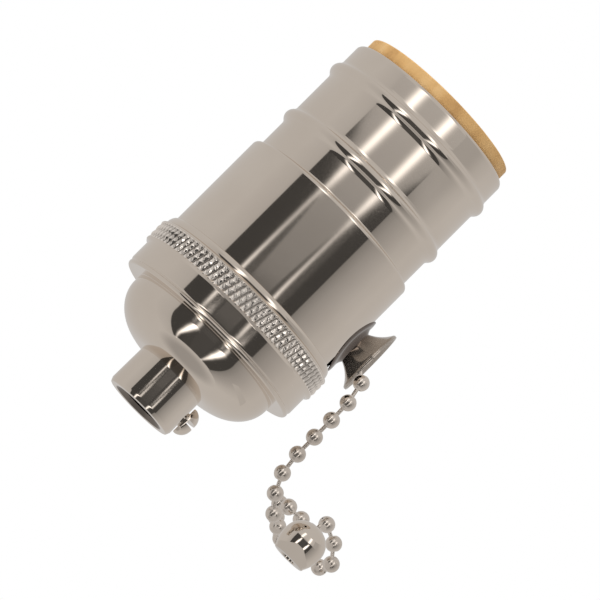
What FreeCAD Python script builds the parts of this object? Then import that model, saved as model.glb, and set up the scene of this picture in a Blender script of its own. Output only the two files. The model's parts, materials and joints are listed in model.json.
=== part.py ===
# Pull-chain lamp socket: cap, shell, fibre liner, moulded interior, pull switch, chain guide,
# ball chain and bell. Millimetres. +Z runs up the socket's axis, from the hub's end face at
# z = 0 to the lamp's mouth. The chain guide leaves towards +X, turned GUIDE_YAW about the axis.
import FreeCAD
import Part
import math
import os

from FreeCAD import Vector

X_AXIS = Vector(1, 0, 0)
Y_AXIS = Vector(0, 1, 0)
Z_AXIS = Vector(0, 0, 1)
ORIGIN = Vector(0, 0, 0)

# ---- driving dimensions -------------------------------------------------------------------
RUN_FIT = 0.05           # radial clearance of a pin that turns in a hole
SLIP = 0.15              # radial clearance of the shell in the cap

# hub
HUB_R = 7.0
HUB_TOP_R = 6.9
HUB_BORE_R = 4.55        # 1/8 IPS thread, plain wall
HUB_MOUTH_R = 5.4
HUB_EDGE_R = 6.66
HUB_EDGE_H = 0.7
HUB_HEIGHT = 8.1
HUB_RIVET_R = 5.6
HUB_FLANGE_R = 7.1
HUB_FLANGE_T = 0.8

# set screw
SET_Z = 4.1
SET_SHANK_R = 1.5
SET_HEAD_R = 2.75
SET_HEAD_H = 2.1
SET_TIP_X = 5.0
SET_HEAD_X = HUB_R + 0.15
SLOT_W = 0.8
SLOT_DEPTH = 1.4

# cap
CAP_WALL = 0.7
DOME_R = 16.14
DOME_Z = 15.35
DOME_TOP_Z = 16.75
DOME_SEMI_R = 9.0
DOME_SEMI_Z = DOME_Z - HUB_HEIGHT
BAND_R = 19.34
BAND_TOP_Z = 21.9
ROLL_R = 19.25           # rolled bottom edge, with a shallow groove above it
ROLL_ARC = 0.5
BAND_GROOVE_R = 19.05
BAND_GROOVE_Z = 17.6
BAND_BOTTOM_Z = 18.1
KNURL_R = 20.0
KNURL_BOTTOM_Z = 22.3
KNURL_TOP_Z = 26.0
GROOVE_Z = 26.6
LIP_R = 19.4
LIP_Z = 26.95
CAP_TOP_Z = 27.9
CAP_FLOOR_Z = DOME_TOP_Z + CAP_WALL
CAP_LINER_R = (9.0, 18.3)
CAP_LINER_Z = (CAP_FLOOR_Z + 0.05, CAP_FLOOR_Z + 0.65)

# shell
SHELL_WALL = 0.5
BARREL_R = 18.57
NECK_R = 17.5
BEAD_R = 18.36
SHELL_BOTTOM_Z = 22.0
SHOULDER_Z = 47.2        # where the barrel starts to round in
SHOULDER_ARC = 0.75
BEAD_ZS = (55.3, 66.9)
BEAD_HALF_W = 1.9
MOUTH_Z = 72.9
MOUTH_ARC = 0.85

# fibre liner
LINER_R = 16.33
LINER_WALL = 0.9
LINER_BOTTOM_Z = 22.4
LINER_TOP_Z = 75.3
LINER_EDGE = 0.15

# chain guide, in its own frame: along +X before the yaw
GUIDE_YAW = -4.0
GUIDE_Z = 34.2
NECK_TUBE_R = 3.3
GUIDE_BORE_R = 2.4
GUIDE_START_X = 8.9
GUIDE_MOUTH_X = 23.25
GUIDE_MOUTH_R = 6.4
GUIDE_RIM_T = 0.35
WAIST_X = 19.15
FLANGE_R = 5.75
FLANGE_T = 0.35
FLANGE_SEAT_R = BARREL_R + 0.12
COLLAR_R = 4.4           # collar against the moulding's wall
COLLAR_T = 1.0
NUT_R = 4.7
NUT_START_X = GUIDE_START_X + 0.2
SLOT_HALF_W = 3.7        # slots in shell and liner that pass the guide's neck

# interior
BASE_R = 14.6
BASE_BOTTOM_Z = CAP_FLOOR_Z + 0.65
BASE_TOP_Z = 40.0
FLAT_Y = 11.6
WALL_X = 12.9
POCKET_X = (-9.0, 10.9)
POCKET_Y = 7.2
POCKET_FLOOR_Z = 21.0
DISK_R = 14.9
DISK_TOP_Z = 45.5
LAMP_R = 12.9            # E26 thread, plain wall at the mean radius
LAMP_WALL = 0.45
LAMP_TOP_Z = 72.6
LAMP_FOOT_R = 12.1       # the contact's plain foot, below the thread
LAMP_FOOT_Z = 50.3       # where the thread starts
LAMP_FLOOR_R = 6.6       # opening in the contact's floor, round the centre leaf
SCREW_X = 5.0            # the two long screws stand at (X, Y) and (-X, -Y)
SCREW_Y = 8.9
SCREW_R = 1.2
SCREW_L = 18.0
SCREW_HEAD_R = 1.8
SCREW_HEAD_H = 1.3
RIVET_X = -4.2
RIVET_R = 1.2
RIVET_HEAD_R = 1.5
RIVET_HEAD_H = 0.7
LEAF_HALF_W = 2.5
LEAF_OUTLINE = [         # (x, z) of the centre contact, bent up from its riveted end
    (-5.9, 45.5), (-2.4, 45.5), (1.0, 48.9), (3.6, 47.6), (3.9, 48.0), (1.0, 49.5),
    (-2.6, 46.0), (-5.9, 46.0),
]
TERMINAL_HALF_W = 3.6
TERMINAL_T = 0.7
TERMINAL_BOTTOM_Z = 26.0
HOT_TERMINAL_TOP_Z = 39.6
TERMINAL_SCREW_Z = 30.0
TERMINAL_SCREW_R = 1.45
TERMINAL_SCREW_L = 3.9
TERMINAL_HEAD_R = 2.7
TERMINAL_HEAD_H = 1.7

# pull switch
SHAFT_X = 1.0
SHAFT_R = 1.25
CHAIN_Z = 33.6           # centre line of the chain where it leaves the drum
WRAP_R = 5.2             # radius of the chain's centre line on the drum
SHAFT_Z = CHAIN_Z - WRAP_R
PLATE_HALF_L = 8.4
PLATE_TOP_Z = 38.4
PLATE_Y = 6.1
PLATE_T = 0.8
DRUM_HALF_W = 2.6
DRUM_CORE_R = 3.55
DRUM_SIDE_R = 6.3
DRUM_SIDE_Y = 1.85       # inner face of the drum's sides
RATCHET_R = 5.6
RATCHET_ROOT_R = 4.48
RATCHET_TEETH = 8
RATCHET_Y = 3.0
RATCHET_T = 1.1
ROTOR_R = 4.6
ROTOR_Y = (4.1, 5.7)
ROTOR_NOTCH = (3.1, 4.9) # distance of the notches' sides from the shaft
ROTOR_CONTACT_Y = (5.7, 5.9)
PAWL_Y = (2.6, 4.1)
SPRING_R = 2.2
SPRING_WIRE_R = 0.25
SPRING_PITCH = 0.7
SPRING_TURNS = 4
SPRING_Y = -5.85
FIXED_CONTACT_X = 5.3    # from the shaft
FIXED_CONTACT_Y = (4.3, 5.6)
FIXED_CONTACT_T = 0.4

# ball chain and bell
BALL_R = 1.5
CHAIN_R = BALL_R         # the free chain is a plain tube of the balls' size
CHAIN_PITCH = 4.45
LINK_R = 0.4
CHAIN_START_X = 18.3
BELL_X = 37.0
BELL_Y = 1.2
BELL_R = 4.0
BELL_BASE_R = 3.3
BELL_H = 7.4
BELL_HOLE_R = 0.75
BELL_BALL_Z = 4.7        # the chain's last ball, inside the bell
LINK_TOP_Z = 7.9

# The free chain's route: out of the guide, over its lip, down, and through a small heap to
# the bell's top. Chosen by hand, in the socket's frame.
CHAIN_ROUTE = [
    (18.26, -1.28, 33.6), (22.85, -1.6, 33.5), (25.25, -1.75, 29.3), (25.4, -1.75, 21.1),
    (25.25, -1.7, 13.0), (25.9, -1.4, 8.6), (27.8, -0.8, 5.6), (29.9, 0.2, 3.4),
    (32.0, 3.6, 3.0), (34.4, 7.2, 1.9), (33.6, 10.6, 3.2), (30.8, 11.6, 4.6),
    (29.0, 9.0, 6.4), (30.2, 6.0, 7.3), (31.6, 3.6, 6.5), (33.9, 4.0, 6.8),
    (35.0, 6.6, 7.2), (37.2, 8.2, 6.0), (40.0, 8.6, 4.4), (42.2, 7.0, 3.2),
    (43.6, 4.6, 4.0), (42.7, 3.0, 6.1), (41.0, 3.1, 7.7), (39.4, 2.7, 8.9),
    (37.7, 2.0, 9.1),
]


# ---- helpers ------------------------------------------------------------------------------
def polar(centre, radius, degrees):
    """Point of a circle in the (r, z) plane."""
    turn = math.radians(degrees)
    return (centre[0] + radius * math.cos(turn), centre[1] + radius * math.sin(turn))


class Outline:
    """A closed (r, z) outline in the XZ plane, drawn edge by edge, for turned parts."""

    def __init__(self, r, z):
        self.start = (r, z)
        self.at = (r, z)
        self.edges = []

    def point(self, rz):
        return Vector(rz[0], 0, rz[1])

    def line(self, r, z):
        if math.hypot(r - self.at[0], z - self.at[1]) > 1e-6:
            self.edges.append(Part.LineSegment(self.point(self.at), self.point((r, z))).toShape())
            self.at = (r, z)
        return self

    def lines(self, *corners):
        for r, z in corners:
            self.line(r, z)
        return self

    def arc(self, centre, radius, from_deg, to_deg):
        self.line(*polar(centre, radius, from_deg))
        middle = polar(centre, radius, (from_deg + to_deg) / 2)
        end = polar(centre, radius, to_deg)
        self.edges.append(Part.Arc(self.point(self.at), self.point(middle), self.point(end)).toShape())
        self.at = end
        return self

    def through(self, middle, end):
        """An arc from the last point through a middle point."""
        self.edges.append(Part.Arc(self.point(self.at), self.point(middle), self.point(end)).toShape())
        self.at = end
        return self

    def bowl(self, centre, semi_r, semi_z, rising=True):
        """Lower outer quarter of an ellipse, from its bottom to its side or back."""
        side = (centre[0] + semi_r, centre[1])
        bottom = (centre[0], centre[1] - semi_z)
        self.line(*(bottom if rising else side))
        ellipse = Part.Ellipse(self.point(side), self.point(bottom), self.point(centre))
        self.edges.append(Part.ArcOfEllipse(ellipse, 0, math.pi / 2).toShape())
        self.at = side if rising else bottom
        return self

    def turned(self):
        self.line(*self.start)
        wire = Part.Wire(Part.__sortEdges__(self.edges))
        return Part.Face(wire).revolve(ORIGIN, Z_AXIS, 360)


def block(x0, x1, y0, y1, z0, z1):
    return Part.makeBox(x1 - x0, y1 - y0, z1 - z0, Vector(x0, y0, z0))


def rod(radius, start, along, length):
    return Part.makeCylinder(radius, length, Vector(*start), along)


def across(radius, x, y0, y1, z):
    """Cylinder along Y."""
    return rod(radius, (x, y0, z), Y_AXIS, y1 - y0)


def laid_along_x(shape, z):
    """Turn a shape made about Z so that its axis is +X at height z."""
    turned = shape.copy()
    turned.rotate(ORIGIN, Y_AXIS, 90)
    turned.translate(Vector(0, 0, z))
    return turned


def yawed(shape):
    """Turn a shape of the pull side about the socket's axis."""
    turned = shape.copy()
    turned.rotate(ORIGIN, Z_AXIS, GUIDE_YAW)
    return turned


def joined(shapes):
    whole = shapes[0]
    for shape in shapes[1:]:
        whole = whole.fuse(shape)
    return whole.removeSplitter()


# ---- cap and hub --------------------------------------------------------------------------
def make_cap():
    inner_r = BARREL_R + SLIP
    outline = Outline(HUB_RIVET_R, HUB_HEIGHT)
    outline.bowl((DOME_R - DOME_SEMI_R, DOME_Z), DOME_SEMI_R, DOME_SEMI_Z)
    outline.line(DOME_R, DOME_TOP_Z)
    outline.arc((ROLL_R - ROLL_ARC, DOME_TOP_Z + ROLL_ARC), ROLL_ARC, -90, 25)
    outline.line(BAND_GROOVE_R, BAND_GROOVE_Z)
    outline.through((BAND_R - 0.08, BAND_BOTTOM_Z - 0.3), (BAND_R, BAND_BOTTOM_Z))
    outline.lines((BAND_R, BAND_TOP_Z), (KNURL_R, KNURL_BOTTOM_Z), (KNURL_R, KNURL_TOP_Z))
    outline.lines((LIP_R, GROOVE_Z), (LIP_R, LIP_Z))
    outline.through((LIP_R - 0.12, CAP_TOP_Z - 0.5), (inner_r + 0.25, CAP_TOP_Z))
    outline.lines((inner_r, CAP_TOP_Z), (inner_r, CAP_FLOOR_Z), (DOME_R - CAP_WALL, CAP_FLOOR_Z))
    outline.bowl((DOME_R - DOME_SEMI_R, DOME_Z), DOME_SEMI_R - CAP_WALL, DOME_SEMI_Z - CAP_WALL,
                 rising=False)
    outline.line(HUB_RIVET_R, HUB_HEIGHT + CAP_WALL)
    return outline.turned()


def make_hub():
    flange_z = HUB_HEIGHT + CAP_WALL
    outline = Outline(HUB_BORE_R, HUB_MOUTH_R - HUB_BORE_R)
    outline.lines((HUB_MOUTH_R, 0), (HUB_EDGE_R, 0), (HUB_R, HUB_EDGE_H), (HUB_TOP_R, HUB_HEIGHT))
    outline.lines((HUB_RIVET_R, HUB_HEIGHT), (HUB_RIVET_R, flange_z), (HUB_FLANGE_R, flange_z))
    outline.lines((HUB_FLANGE_R, flange_z + HUB_FLANGE_T), (HUB_BORE_R, flange_z + HUB_FLANGE_T))
    hole = rod(SET_SHANK_R + RUN_FIT, (0, 0, SET_Z), X_AXIS, HUB_R + 1)
    return outline.turned().cut(hole)


def make_set_screw():
    top_x = SET_HEAD_X + SET_HEAD_H
    crown = Outline(0, SET_TIP_X)
    crown.lines((SET_SHANK_R, SET_TIP_X), (SET_SHANK_R, SET_HEAD_X), (SET_HEAD_R, SET_HEAD_X))
    crown.line(SET_HEAD_R, SET_HEAD_X + 0.5)
    crown.through((SET_HEAD_R * 0.75, SET_HEAD_X + SET_HEAD_H * 0.78), (0, top_x))
    screw = laid_along_x(crown.turned(), SET_Z)
    slot = block(top_x - SLOT_DEPTH, top_x + 1, -4, 4, SET_Z - SLOT_W / 2, SET_Z + SLOT_W / 2)
    return screw.cut(slot)


def make_cap_liner():
    inner_r, outer_r = CAP_LINER_R
    low, high = CAP_LINER_Z
    return Outline(inner_r, low).lines((outer_r, low), (outer_r, high), (inner_r, high)).turned()


# ---- shell and liner ----------------------------------------------------------------------
def shell_arcs(inset):
    """Arcs of the shell's side from bottom to top, as (centre, radius, from, to), set in by inset."""
    hollow = BARREL_R - NECK_R - SHOULDER_ARC
    arcs = [
        ((BARREL_R - SHOULDER_ARC, SHOULDER_Z), SHOULDER_ARC - inset, 0, 90),
        ((NECK_R + hollow, SHOULDER_Z + SHOULDER_ARC + hollow), hollow + inset, 270, 180),
    ]
    height = BEAD_R - NECK_R
    rho = (BEAD_HALF_W ** 2 + height ** 2) / (4 * height)
    phi = math.degrees(math.asin(BEAD_HALF_W / (2 * rho)))
    for bead_z in BEAD_ZS:
        arcs.append(((NECK_R + rho, bead_z - BEAD_HALF_W), rho + inset, 180, 180 - phi))
        arcs.append(((BEAD_R - rho, bead_z), rho - inset, -phi, phi))
        arcs.append(((NECK_R + rho, bead_z + BEAD_HALF_W), rho + inset, 180 + phi, 180))
    arcs.append(((NECK_R - MOUTH_ARC, MOUTH_Z - MOUTH_ARC), MOUTH_ARC - inset, 0, 90))
    return arcs


def neck_slot(outer_r):
    """Cutter for the slot, open at the bottom, that passes the guide's neck."""
    hole = rod(SLOT_HALF_W, (8, 0, GUIDE_Z), X_AXIS, outer_r)
    way = block(8, outer_r + 8, -SLOT_HALF_W, SLOT_HALF_W, SHELL_BOTTOM_Z - 5, GUIDE_Z)
    return yawed(hole.fuse(way))


def make_shell():
    outline = Outline(BARREL_R, SHELL_BOTTOM_Z)
    for centre, radius, start, end in shell_arcs(0):
        outline.arc(centre, radius, start, end)
    for centre, radius, start, end in reversed(shell_arcs(SHELL_WALL)):
        outline.arc(centre, radius, end, start)
    outline.line(BARREL_R - SHELL_WALL, SHELL_BOTTOM_Z)
    return outline.turned().cut(neck_slot(BARREL_R))


def make_liner():
    inner_r = LINER_R - LINER_WALL
    outline = Outline(inner_r, LINER_BOTTOM_Z)
    outline.lines((LINER_R, LINER_BOTTOM_Z), (LINER_R, LINER_TOP_Z - LINER_EDGE))
    outline.lines((LINER_R - LINER_EDGE, LINER_TOP_Z), (inner_r + LINER_EDGE, LINER_TOP_Z))
    outline.line(inner_r, LINER_TOP_Z - LINER_EDGE)
    return outline.turned().cut(neck_slot(LINER_R))


# ---- interior -----------------------------------------------------------------------------
def make_interior_base():
    body = rod(BASE_R, (0, 0, BASE_BOTTOM_Z), Z_AXIS, BASE_TOP_Z - BASE_BOTTOM_Z)
    body = body.common(block(-BASE_R, WALL_X, -FLAT_Y, FLAT_Y, BASE_BOTTOM_Z, BASE_TOP_Z))
    pocket = block(POCKET_X[0], POCKET_X[1], -POCKET_Y, POCKET_Y, POCKET_FLOOR_Z, BASE_TOP_Z + 1)
    body = body.cut(pocket)
    body = body.cut(rod(NECK_TUBE_R, (8, 0, GUIDE_Z), X_AXIS, 10))
    for side in (-1, 1):
        body = body.cut(rod(SCREW_R, (side * SCREW_X, side * SCREW_Y, 27.0), Z_AXIS, 20))
        body = body.cut(rod(TERMINAL_SCREW_R, (0, side * 8.2, TERMINAL_SCREW_Z), Y_AXIS * side, 5))
    return yawed(body)


def make_contact_disk():
    body = rod(DISK_R, (0, 0, BASE_TOP_Z), Z_AXIS, DISK_TOP_Z - BASE_TOP_Z)
    body = body.cut(rod(RIVET_R, (RIVET_X, 0, BASE_TOP_Z - 1), Z_AXIS, 10))
    for side in (-1, 1):
        body = body.cut(rod(SCREW_R, (side * SCREW_X, side * SCREW_Y, BASE_TOP_Z - 1), Z_AXIS, 10))
    half = TERMINAL_HALF_W + 0.5
    body = body.cut(block(-half, half, FLAT_Y, DISK_R + 1, BASE_TOP_Z - 1, DISK_TOP_Z + 1))
    return yawed(body)


def pan_screw(shank_r, shank_l, head_r, head_h):
    """Slotted screw about +Z, with the underside of its head at z = 0 and its shank below."""
    outline = Outline(0, -shank_l)
    outline.lines((shank_r, -shank_l), (shank_r, 0), (head_r, 0), (head_r, head_h * 0.55))
    outline.through((head_r * 0.7, head_h * 0.9), (0, head_h))
    slot = block(-head_r - 1, head_r + 1, -0.3, 0.3, head_h * 0.45, head_h + 1)
    return outline.turned().cut(slot)


def make_assembly_screws():
    screws = []
    for side in (-1, 1):
        screw = pan_screw(SCREW_R, SCREW_L, SCREW_HEAD_R, SCREW_HEAD_H)
        screw.translate(Vector(side * SCREW_X, side * SCREW_Y, DISK_TOP_Z + LAMP_WALL))
        screws.append(yawed(screw))
    return Part.makeCompound(screws)


def make_screw_shell():
    outer = LAMP_R + LAMP_WALL
    foot = LAMP_FOOT_R + LAMP_WALL
    outline = Outline(LAMP_FLOOR_R, DISK_TOP_Z)
    outline.lines((foot, DISK_TOP_Z), (foot, LAMP_FOOT_Z - 0.9), (outer, LAMP_FOOT_Z - 0.3))
    outline.line(outer, LAMP_TOP_Z - 1.0)
    outline.through((outer + 0.35, LAMP_TOP_Z - 0.5), (outer, LAMP_TOP_Z))
    outline.lines((LAMP_R, LAMP_TOP_Z), (LAMP_R, LAMP_FOOT_Z), (LAMP_FOOT_R, LAMP_FOOT_Z - 0.6))
    outline.lines((LAMP_FOOT_R, DISK_TOP_Z + LAMP_WALL), (LAMP_FLOOR_R, DISK_TOP_Z + LAMP_WALL))
    body = outline.turned()
    for side in (-1, 1):
        body = body.cut(rod(SCREW_R, (side * SCREW_X, side * SCREW_Y, DISK_TOP_Z - 1), Z_AXIS, 3))
    return yawed(body)


def strip(points, y0, y1):
    """A flat strip with the given (x, z) outline, from y0 to y1."""
    corners = [Vector(x, y0, z) for x, z in points]
    face = Part.Face(Part.makePolygon(corners + [corners[0]]))
    return face.extrude(Vector(0, y1 - y0, 0))


def make_centre_contact():
    leaf = strip(LEAF_OUTLINE, -LEAF_HALF_W, LEAF_HALF_W)
    return yawed(leaf.cut(rod(RIVET_R, (RIVET_X, 0, DISK_TOP_Z - 1), Z_AXIS, 3)))


def make_centre_rivet():
    head_z = DISK_TOP_Z + 0.5
    shank = rod(RIVET_R, (RIVET_X, 0, BASE_TOP_Z + 0.4), Z_AXIS, head_z - BASE_TOP_Z - 0.4)
    head = rod(RIVET_HEAD_R, (RIVET_X, 0, head_z), Z_AXIS, RIVET_HEAD_H)
    return yawed(shank.fuse(head).removeSplitter())


def make_terminal(side, top_z):
    y0, y1 = sorted((side * FLAT_Y, side * (FLAT_Y + TERMINAL_T)))
    plate = block(-TERMINAL_HALF_W, TERMINAL_HALF_W, y0, y1, TERMINAL_BOTTOM_Z, top_z)
    return yawed(plate.cut(across(TERMINAL_SCREW_R, 0, y0 - 1, y1 + 1, TERMINAL_SCREW_Z)))


def make_terminal_screw(side):
    screw = pan_screw(TERMINAL_SCREW_R, TERMINAL_SCREW_L, TERMINAL_HEAD_R, TERMINAL_HEAD_H)
    screw.rotate(ORIGIN, X_AXIS, -90 * side)
    screw.translate(Vector(0, side * (FLAT_Y + TERMINAL_T), TERMINAL_SCREW_Z))
    return yawed(screw)


# ---- pull switch --------------------------------------------------------------------------
def make_frame(side):
    y0, y1 = sorted((side * PLATE_Y, side * (PLATE_Y + PLATE_T)))
    plate = block(-PLATE_HALF_L, PLATE_HALF_L, y0, y1, POCKET_FLOOR_Z, PLATE_TOP_Z)
    return yawed(plate.cut(across(SHAFT_R, SHAFT_X, y0 - 1, y1 + 1, SHAFT_Z)))


def make_drum_shaft():
    reach = PLATE_Y + PLATE_T
    return yawed(across(SHAFT_R, SHAFT_X, -reach, reach, SHAFT_Z))


def make_drum():
    core = across(DRUM_CORE_R, SHAFT_X, -DRUM_HALF_W, DRUM_HALF_W, SHAFT_Z)
    front = across(DRUM_SIDE_R, SHAFT_X, -DRUM_HALF_W, -DRUM_SIDE_Y, SHAFT_Z)
    back = across(DRUM_SIDE_R, SHAFT_X, DRUM_SIDE_Y, DRUM_HALF_W, SHAFT_Z)
    body = joined([core, front, back])
    return yawed(body.cut(across(SHAFT_R + RUN_FIT, SHAFT_X, -4, 4, SHAFT_Z)))


def round_shaft(radius, y, degrees):
    """Point of a circle round the drum's shaft."""
    x, z = polar((SHAFT_X, SHAFT_Z), radius, degrees)
    return Vector(x, y, z)


def make_chain_wrap():
    """The chain's last balls, hooked on the drum behind its top."""
    step = math.degrees(CHAIN_PITCH / WRAP_R)
    turns = [90 + step * (0.5 + number) for number in range(3)]
    places = [round_shaft(WRAP_R, 0, turn) for turn in turns]
    balls = [Part.makeSphere(BALL_R, place) for place in places]
    links = [bar(start, end, LINK_R) for start, end in zip(places, places[1:])]
    return yawed(joined(balls + links))


def bar(start, end, radius):
    span = end - start
    return Part.makeCylinder(radius, span.Length, start, span)


def make_ratchet():
    corners = []
    for tooth in range(RATCHET_TEETH):
        turn = tooth * 360 / RATCHET_TEETH
        corners.append(round_shaft(RATCHET_R, RATCHET_Y, turn))
        corners.append(round_shaft(RATCHET_ROOT_R, RATCHET_Y, turn + 6))
    face = Part.Face(Part.makePolygon(corners + [corners[0]]))
    wheel = face.extrude(Vector(0, RATCHET_T, 0))
    return yawed(wheel.cut(across(SHAFT_R + RUN_FIT, SHAFT_X, 2, 6, SHAFT_Z)))


def make_rotor():
    body = across(ROTOR_R, SHAFT_X, *ROTOR_Y, SHAFT_Z)
    for side in (-1, 1):
        low, high = sorted(SHAFT_Z + side * distance for distance in ROTOR_NOTCH)
        body = body.cut(block(SHAFT_X - 6, SHAFT_X + 6, 4, 6, low, high))
    return yawed(body.cut(across(SHAFT_R + RUN_FIT, SHAFT_X, 2, 6, SHAFT_Z)))


def make_rotor_contact():
    y0, y1 = ROTOR_CONTACT_Y
    left = block(SHAFT_X - 4.4, SHAFT_X - 2.0, y0, y1, SHAFT_Z - 1, SHAFT_Z + 1)
    right = block(SHAFT_X + 2.0, SHAFT_X + 4.4, y0, y1, SHAFT_Z - 1, SHAFT_Z + 1)
    ring = across(2.9, SHAFT_X, y0, y1, SHAFT_Z).cut(across(1.6, SHAFT_X, y0, y1, SHAFT_Z))
    return yawed(joined([ring, left, right]))


def make_pawl():
    return yawed(block(SHAFT_X - 0.8, SHAFT_X + 0.8, *PAWL_Y, SHAFT_Z - 6.3, SHAFT_Z - 5.85))


def make_return_spring():
    helix = Part.makeHelix(SPRING_PITCH, SPRING_PITCH * SPRING_TURNS, SPRING_R)
    start = Part.Wire([Part.Circle(Vector(SPRING_R, 0, 0), Y_AXIS, SPRING_WIRE_R).toShape()])
    coil = Part.Wire(helix.Edges).makePipeShell([start], True, True)
    coil.rotate(ORIGIN, X_AXIS, -90)
    coil.translate(Vector(SHAFT_X, SPRING_Y, SHAFT_Z))
    return yawed(coil)


def make_fixed_contact(side):
    """Brass leaf in the pocket, a little clear of the rotor's edge."""
    near = SHAFT_X + side * FIXED_CONTACT_X
    x0, x1 = sorted((near, near + side * FIXED_CONTACT_T))
    return yawed(block(x0, x1, *FIXED_CONTACT_Y, SHAFT_Z - 3.5, BASE_TOP_Z))


# ---- guide, chain and bell ----------------------------------------------------------------
def make_chain_guide():
    neck_end = WAIST_X + 0.2
    outline = Outline(0, GUIDE_START_X)
    outline.lines((NECK_TUBE_R, GUIDE_START_X), (NECK_TUBE_R, WALL_X), (COLLAR_R, WALL_X))
    outline.lines((COLLAR_R, WALL_X + COLLAR_T), (NECK_TUBE_R, WALL_X + COLLAR_T))
    outline.line(NECK_TUBE_R, WAIST_X)
    outline.through((4.72, 21.3), (GUIDE_MOUTH_R, GUIDE_MOUTH_X))
    outline.line(0, GUIDE_MOUTH_X)
    body = laid_along_x(outline.turned(), GUIDE_Z)
    ring = rod(FLANGE_SEAT_R + FLANGE_T, (0, 0, GUIDE_Z - 8), Z_AXIS, 16)
    flange = ring.common(rod(FLANGE_R, (14, 0, GUIDE_Z), X_AXIS, 8))
    blend = Outline(0, 16)
    blend.lines((4.9, 16), (4.9, BARREL_R + FLANGE_T))
    blend.through((3.75, WAIST_X - 0.12), (NECK_TUBE_R, WAIST_X + 0.3))
    blend.line(0, WAIST_X + 0.3)
    foot = flange.fuse(laid_along_x(blend.turned(), GUIDE_Z))
    foot = foot.cut(rod(FLANGE_SEAT_R, (0, 0, GUIDE_Z - 8), Z_AXIS, 16))
    hollow = Outline(0, GUIDE_START_X - 1)
    hollow.lines((GUIDE_BORE_R, GUIDE_START_X - 1), (GUIDE_BORE_R, neck_end))
    hollow.through((4.2, 21.5), (GUIDE_MOUTH_R - GUIDE_RIM_T, GUIDE_MOUTH_X))
    hollow.lines((GUIDE_MOUTH_R - GUIDE_RIM_T, GUIDE_MOUTH_X + 1), (0, GUIDE_MOUTH_X + 1))
    whole = body.fuse(foot).cut(laid_along_x(hollow.turned(), GUIDE_Z))
    return yawed(whole.removeSplitter())


def make_guide_nut():
    corners = [Vector(*polar((0, 0), NUT_R, 30 + 60 * side), NUT_START_X) for side in range(6)]
    face = Part.Face(Part.makePolygon(corners + [corners[0]]))
    nut = face.extrude(Vector(0, 0, POCKET_X[1] - NUT_START_X))
    nut = nut.cut(Part.makeCylinder(NECK_TUBE_R, 10, Vector(0, 0, GUIDE_START_X - 1)))
    return yawed(laid_along_x(nut, GUIDE_Z))


def make_chain_inner():
    """The chain from the drum's top to the free chain's start, turned as one piece."""
    pole = math.degrees(math.acos(LINK_R / BALL_R))
    x = SHAFT_X + CHAIN_PITCH / 2
    outline = Outline(0, x - BALL_R)
    outline.arc((0, x), BALL_R, -90, pole)
    x += CHAIN_PITCH
    while x < CHAIN_START_X - BALL_R:
        outline.arc((0, x), BALL_R, -pole, pole)
        x += CHAIN_PITCH
    outline.lines((LINK_R, CHAIN_START_X), (0, CHAIN_START_X))
    return yawed(laid_along_x(outline.turned(), CHAIN_Z))


def cord_tube(points, radius):
    """Round tube on straight runs joined by tangent arcs. Prints its length and least bend."""
    path = [Vector(*point) for point in points]
    edges = []
    at = path[0]
    radii = []
    for before, corner, after in zip(path, path[1:], path[2:]):
        back = (before - corner).normalize()
        ahead = (after - corner).normalize()
        turn = math.pi - back.getAngle(ahead)
        cut = 0.45 * min((before - corner).Length, (after - corner).Length)
        bend = cut / math.tan(turn / 2)
        radii.append(bend)
        start = corner + back * cut
        end = corner + ahead * cut
        inward = (back + ahead).normalize()
        middle = corner + inward * (bend / math.cos(turn / 2) - bend)
        edges.append(Part.LineSegment(at, start).toShape())
        edges.append(Part.Arc(start, middle, end).toShape())
        at = end
    edges.append(Part.LineSegment(at, path[-1]).toShape())
    wire = Part.Wire(edges)
    section = Part.Wire([Part.Circle(path[0], path[1] - path[0], radius).toShape()])
    tube = wire.makePipeShell([section], True, True)
    print("chain length %.1f mm, least bend %.1f mm" % (wire.Length, min(radii)))
    return tube


def make_pull_bell():
    outline = Outline(BELL_HOLE_R, BELL_H)
    outline.line(1.35, BELL_H)
    outline.through((3.15, 5.9), (BELL_R, 3.3))
    outline.through((3.85, 1.6), (BELL_BASE_R, 0.25))
    outline.lines((BELL_BASE_R - 0.3, 0), (1.7, 0), (1.7, 0.5), (0, 0.5), (0, 2.6), (1.6, 3.6))
    outline.lines((1.6, 5.6), (BELL_HOLE_R, 6.7))
    bell = outline.turned()
    bell.translate(Vector(BELL_X, BELL_Y, 0))
    return bell


def make_end_link():
    """The chain's last ball, held in the bell, and the link that leaves the bell's top."""
    held = Vector(BELL_X, BELL_Y, BELL_BALL_Z)
    top = Vector(BELL_X, BELL_Y, LINK_TOP_Z)
    ball = Part.makeSphere(BALL_R, held)
    knee = Part.makeSphere(LINK_R, top)
    return joined([ball, bar(held, top, LINK_R), knee, bar(top, Vector(*CHAIN_ROUTE[-1]), LINK_R)])


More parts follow.
